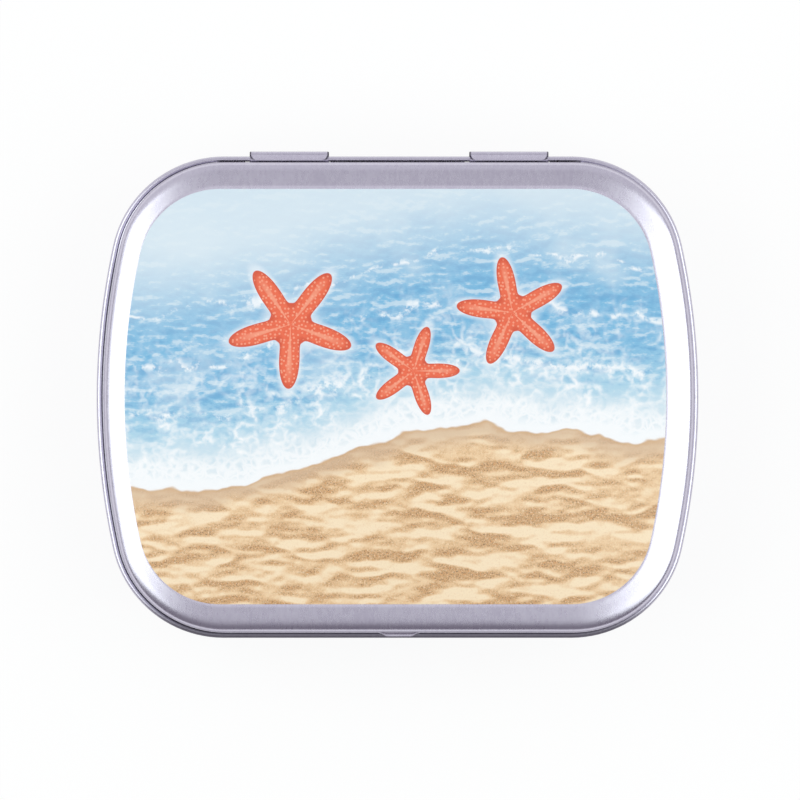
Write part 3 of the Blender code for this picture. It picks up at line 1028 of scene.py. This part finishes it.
def sand_height(picture, place):
    """Wind-blown ridges with sharp crests, and shallow dents between them."""
    drift = picture.noise(0.16, 3, 0.5, stretched(picture.tree, place, DRIFT_STRETCH)) - 0.5
    crest = (drift * drift + CREST_SOFTNESS**2).maths("SQRT") * -1
    return crest * 13 + picture.noise(0.42, 3, 0.55, place) * 0.9


def paint_sand(picture):
    """Sand in low light: smooth and pale on lit slopes, with grains of other colours in the shade."""
    lit = picture.lit(sand_height, SAND_LIGHT_STEP) + (picture.noise(2.4, 3, 0.75) - 0.5) * 0.3
    shade = lit.rise(0.12, -0.5)
    colour = picture.blend(lit.rise(-0.05, 0.4), SAND, SAND_LIGHT)
    colour = picture.blend(shade * 0.8, colour, SAND_SHADE)
    dark = picture.noise(6, 3, 0.8).rise(0.5, 0.62)
    colour = picture.blend(dark * (shade * 0.75 + 0.06), colour, SAND_DARK)
    amber = picture.noise(4.3, 3, 0.8).rise(0.53, 0.66)
    colour = picture.blend(amber * (shade * 0.6 + 0.2), colour, SAND_AMBER)
    pale = picture.noise(5.1, 2, 0.8).rise(0.46, 0.34)
    colour = picture.blend(pale * 0.6, colour, SAND_LIGHT)
    return picture.blend(picture.shore.rise(-2.6, -0.4) * 0.75, colour, WET_SAND)


# %% Foam and starfish
CORAL = printed(238, 107, 72)
CORAL_DEEP = printed(214, 82, 52)
CORAL_PALE = printed(250, 170, 140)
STARFISH = ((-10.6, 7.2, 6.4, 0.35), (1.6, 2.6, 4.6, 1.25), (11.4, 8.4, 5.6, 0.75))
ARMS = 5
ARM_SHARPNESS = 1.9
ARM_SHARE = 0.66
KNOB_SCALE = 2.3


def paint_foam(picture, colour):
    """A lace of foam along the shore, thick at its lower edge, where it throws a shadow, and torn above."""
    holes = ripple_net(picture, 0.95, 0.36).maths("MAXIMUM", ripple_net(picture, 0.5, 0.22))
    lace = holes.maths("MAXIMUM", picture.shore.rise(1.6, 0.5))
    band = picture.shore.rise(-0.12, 0.1) * picture.shore.rise(4.4, 1.2)
    shadow = picture.shore.rise(-0.5, -0.05) * picture.shore.rise(0.2, 0)
    colour = picture.blend(shadow * 0.45, colour, SAND_SHADE)
    return picture.blend(band * lace * 0.95, colour, FOAM)


def paint_starfish(picture, colour, middle_x, middle_y, reach, turn):
    """A starfish with five tapering arms, pale knobs, a pale line along each arm, and light water round."""
    across = picture.x - middle_x
    up = picture.y - middle_y
    away = (across * across + up * up).maths("SQRT")
    angle = up.maths("ARCTAN2", across) + turn
    lobes = ((angle * ARMS).maths("COSINE") + 1) * 0.5
    outline = (lobes.maths("POWER", ARM_SHARPNESS) * ARM_SHARE + (1 - ARM_SHARE)) * reach
    edge = outline - away
    colour = picture.blend(edge.rise(-1.3, 0.2) * 0.55, colour, FOAM)
    body = picture.blend(edge.rise(0, reach * 0.16), CORAL_DEEP, CORAL)
    body = picture.blend(picture.noise(2.6, 3, 0.7).rise(0.5, 0.7) * 0.5, body, CORAL_DEEP)
    inputs = {"Vector": picture.place, "Scale": KNOB_SCALE, "Randomness": 0.7}
    cells = node(picture.tree, "ShaderNodeTexVoronoi", inputs, voronoi_dimensions="2D")
    knobs = Field(picture.tree, cells.outputs["Distance"])
    body = picture.blend(knobs.rise(0.32, 0.14) * edge.rise(0.1, 0.5) * 0.75, body, CORAL_PALE)
    ridge = lobes.rise(0.955, 1) * away.rise(reach * 0.95, reach * 0.5)
    body = picture.blend(ridge * 0.7, body, CORAL_PALE)
    return picture.blend(edge.rise(-0.03, 0.08), colour, body)


# %% Label material
FILM_ROUGHNESS = 0.42
FILM_WHITE = printed(244, 244, 246)
FILM_GRAIN_SCALE = 1500
FILM_RELIEF = 0.000008
FILM_RELIEF_STRENGTH = 0.1


def make_print():
    """The picture under a satin film, with the sticker's own white at its cut edge."""
    made, tree, shader, place = new_material("printed_film")
    picture = Picture(tree, place)
    colour = blend(tree, picture.shore.rise(-0.15, 0.25), paint_sand(picture), paint_water(picture))
    colour = paint_foam(picture, colour)
    for starfish in STARFISH:
        colour = paint_starfish(picture, colour, *starfish)
    normal = tree.nodes.new("ShaderNodeTexCoord").outputs["Normal"]
    upward = Field(tree, node(tree, "ShaderNodeSeparateXYZ", {0: normal}).outputs[2])
    flat_share = upward.maths("ABSOLUTE").rise(0.3, 0.6)
    feed(tree, shader.inputs["Base Color"], blend(tree, flat_share, FILM_WHITE, colour))
    shader.inputs["Roughness"].default_value = FILM_ROUGHNESS
    film = noise(tree, place, FILM_GRAIN_SCALE)
    relief = {"Height": film, "Strength": FILM_RELIEF_STRENGTH, "Distance": FILM_RELIEF}
    bump = node(tree, "ShaderNodeBump", relief)
    feed(tree, shader.inputs["Normal"], bump.outputs[0])
    return made


label_print = make_print()
label_sticker.data.materials.append(label_print)
print("picture nodes:", len(label_print.node_tree.nodes))

# %% [markdown]
# ## Floor and light
#
# The tin lies on a white table. For the camera, and in reflections, most of the table's colour is a
# steady white glow, and the rest is ordinary diffuse white that still takes the tin's soft shadow. A
# satin metal shows what stands round it, so the light is built for its reflections. A large softbox on
# the left and one on the right, turned a little to the front, make the two side bands white. Between
# them the room is grey: lighter straight overhead, which the flats mirror, lighter low at the rear, and
# dark low at the front, which draws the dark line above the front edge.

# %% Floor
FLOOR_SIZE = 8
FLOOR_GLOW = 1.015
FLOOR_GLOW_SHARE = 0.86
FLOOR_WHITE = (0.9, 0.9, 0.9, 1)


def make_floor():
    """A white table that stays white to the camera and in reflections, and keeps the shadow."""
    mesh = bmesh.new()
    bmesh.ops.create_grid(mesh, x_segments=1, y_segments=1, size=FLOOR_SIZE / 2)
    bmesh.ops.translate(mesh, vec=(0, 0, -EDGE_BREAK), verts=mesh.verts)
    made = as_object("table", mesh)
    material, tree, shader, place = new_material("table_white")
    tree.nodes.remove(shader)
    rays = tree.nodes.new("ShaderNodeLightPath").outputs
    seen = Field(tree, rays["Is Camera Ray"]) + Field(tree, rays["Is Glossy Ray"]) + Field(
        tree, rays["Is Transmission Ray"]
    )
    diffuse = node(tree, "ShaderNodeBsdfDiffuse", {"Color": FLOOR_WHITE})
    glow = node(tree, "ShaderNodeEmission", {"Strength": FLOOR_GLOW})
    share = seen.maths("MINIMUM", 1) * FLOOR_GLOW_SHARE
    mixed = node(tree, "ShaderNodeMixShader", {0: share, 1: diffuse.outputs[0], 2: glow.outputs[0]})
    feed(tree, tree.nodes["Material Output"].inputs[0], mixed.outputs[0])
    made.data.materials.append(material)


make_floor()

# %% Room and softboxes
ROOM_OVERHEAD = (0.76, 0.74, 0.785, 1)
ROOM_GREY = (0.525, 0.51, 0.55, 1)
ROOM_LOW_REAR = (0.70, 0.69, 0.73, 1)
ROOM_LOW_FRONT = (0.22, 0.20, 0.235, 1)
OVERHEAD_FADE = (0.995, 0.95)
REAR_FADE = (0.3, 0.55)
REAR_HEIGHT_FADE = (0.86, 0.66)
FRONT_FADE = (-0.25, -0.45)
FRONT_HEIGHT_FADE = (0.93, 0.72)
SOFTBOX_RADIANCE = 1.62
SOFTBOX_COLOUR = (0.92, 1, 0.93)
SOFTBOX_DISTANCE = 0.60
SOFTBOX_SIZE = (0.62, 0.48)
SOFTBOXES = (
    ("softbox_left", radians(180), radians(40.5)),
    ("softbox_right", radians(-9), radians(37.5)),
)


def make_room():
    """A grey room, lighter straight overhead and low at the rear, and darker low at the front.

    A direction's length is 1, so its parts are cosines of its angles to the axes.
    """
    world = bpy.data.worlds.new("room")
    bpy.context.scene.world = world
    world.use_nodes = True
    tree = world.node_tree
    direction = tree.nodes.new("ShaderNodeTexCoord").outputs["Generated"]
    axes = node(tree, "ShaderNodeSeparateXYZ", {0: direction}).outputs
    rear = Field(tree, axes[1])
    height = Field(tree, axes[2])
    low_rear = rear.rise(*REAR_FADE) * height.rise(*REAR_HEIGHT_FADE)
    low_front = rear.rise(*FRONT_FADE) * height.rise(*FRONT_HEIGHT_FADE)
    colour = blend(tree, height.rise(*OVERHEAD_FADE), ROOM_OVERHEAD, ROOM_GREY)
    colour = blend(tree, low_rear, colour, ROOM_LOW_REAR)
    colour = blend(tree, low_front, colour, ROOM_LOW_FRONT)
    feed(tree, tree.nodes["Background"].inputs["Color"], colour)


def make_softbox(name, azimuth, from_above):
    """A soft lamp that leans over the tin from one side and faces it, with its long side level."""
    lamp = bpy.data.lights.new(name, "AREA")
    lamp.shape = "RECTANGLE"
    lamp.size, lamp.size_y = SOFTBOX_SIZE
    lamp.energy = pi * SOFTBOX_RADIANCE * lamp.size * lamp.size_y
    lamp.color = SOFTBOX_COLOUR
    made = bpy.data.objects.new(name, lamp)
    level = SOFTBOX_DISTANCE * sin(from_above)
    made.location = (level * cos(azimuth), level * sin(azimuth), SOFTBOX_DISTANCE * cos(from_above))
    made.rotation_euler = (-made.location).to_track_quat("-Z", "Y").to_euler()
    made.visible_camera = False
    bpy.context.scene.collection.objects.link(made)


make_room()
for softbox in SOFTBOXES:
    make_softbox(*softbox)
print("softboxes:", SOFTBOX_SIZE, "m at", SOFTBOX_DISTANCE, "m")

# %% [markdown]
# ## Camera
#
# The photograph looks straight down on the lid, with the hinge at the top. How far away it was taken
# isn't known, so the camera hangs a metre above the bead. The rim's width in the picture then gives the
# lens, and the rim's middle in the picture gives the place above the tin.

# %% Camera
PICTURE_SIZE = 800
RIM_WIDTH_PIXELS = 601.6
RIM_MIDDLE_PIXELS = (397.5, 397.2)
CAMERA_ABOVE_RIM = 1.0
SENSOR = 0.036
NEAR_CLIP = 0.01


def make_camera():
    """A long lens straight above the tin, framed as the photograph is."""
    pixel = RIM_WIDTH / RIM_WIDTH_PIXELS
    lens = bpy.data.cameras.new("camera")
    lens.sensor_width = SENSOR * MILLIMETRES
    lens.lens = SENSOR * CAMERA_ABOVE_RIM / (pixel * PICTURE_SIZE) * MILLIMETRES
    lens.clip_start = NEAR_CLIP
    made = bpy.data.objects.new("camera", lens)
    across = (PICTURE_SIZE / 2 - RIM_MIDDLE_PIXELS[0]) * pixel
    down = (PICTURE_SIZE / 2 - RIM_MIDDLE_PIXELS[1]) * pixel
    made.location = (across, -down, BEAD_HEIGHT + CAMERA_ABOVE_RIM)
    bpy.context.scene.collection.objects.link(made)
    bpy.context.scene.camera = made
    print(f"lens {lens.lens:.0f} mm at {made.location.z:.3f} m")


make_camera()
bpy.context.scene.view_settings.view_transform = "Standard"
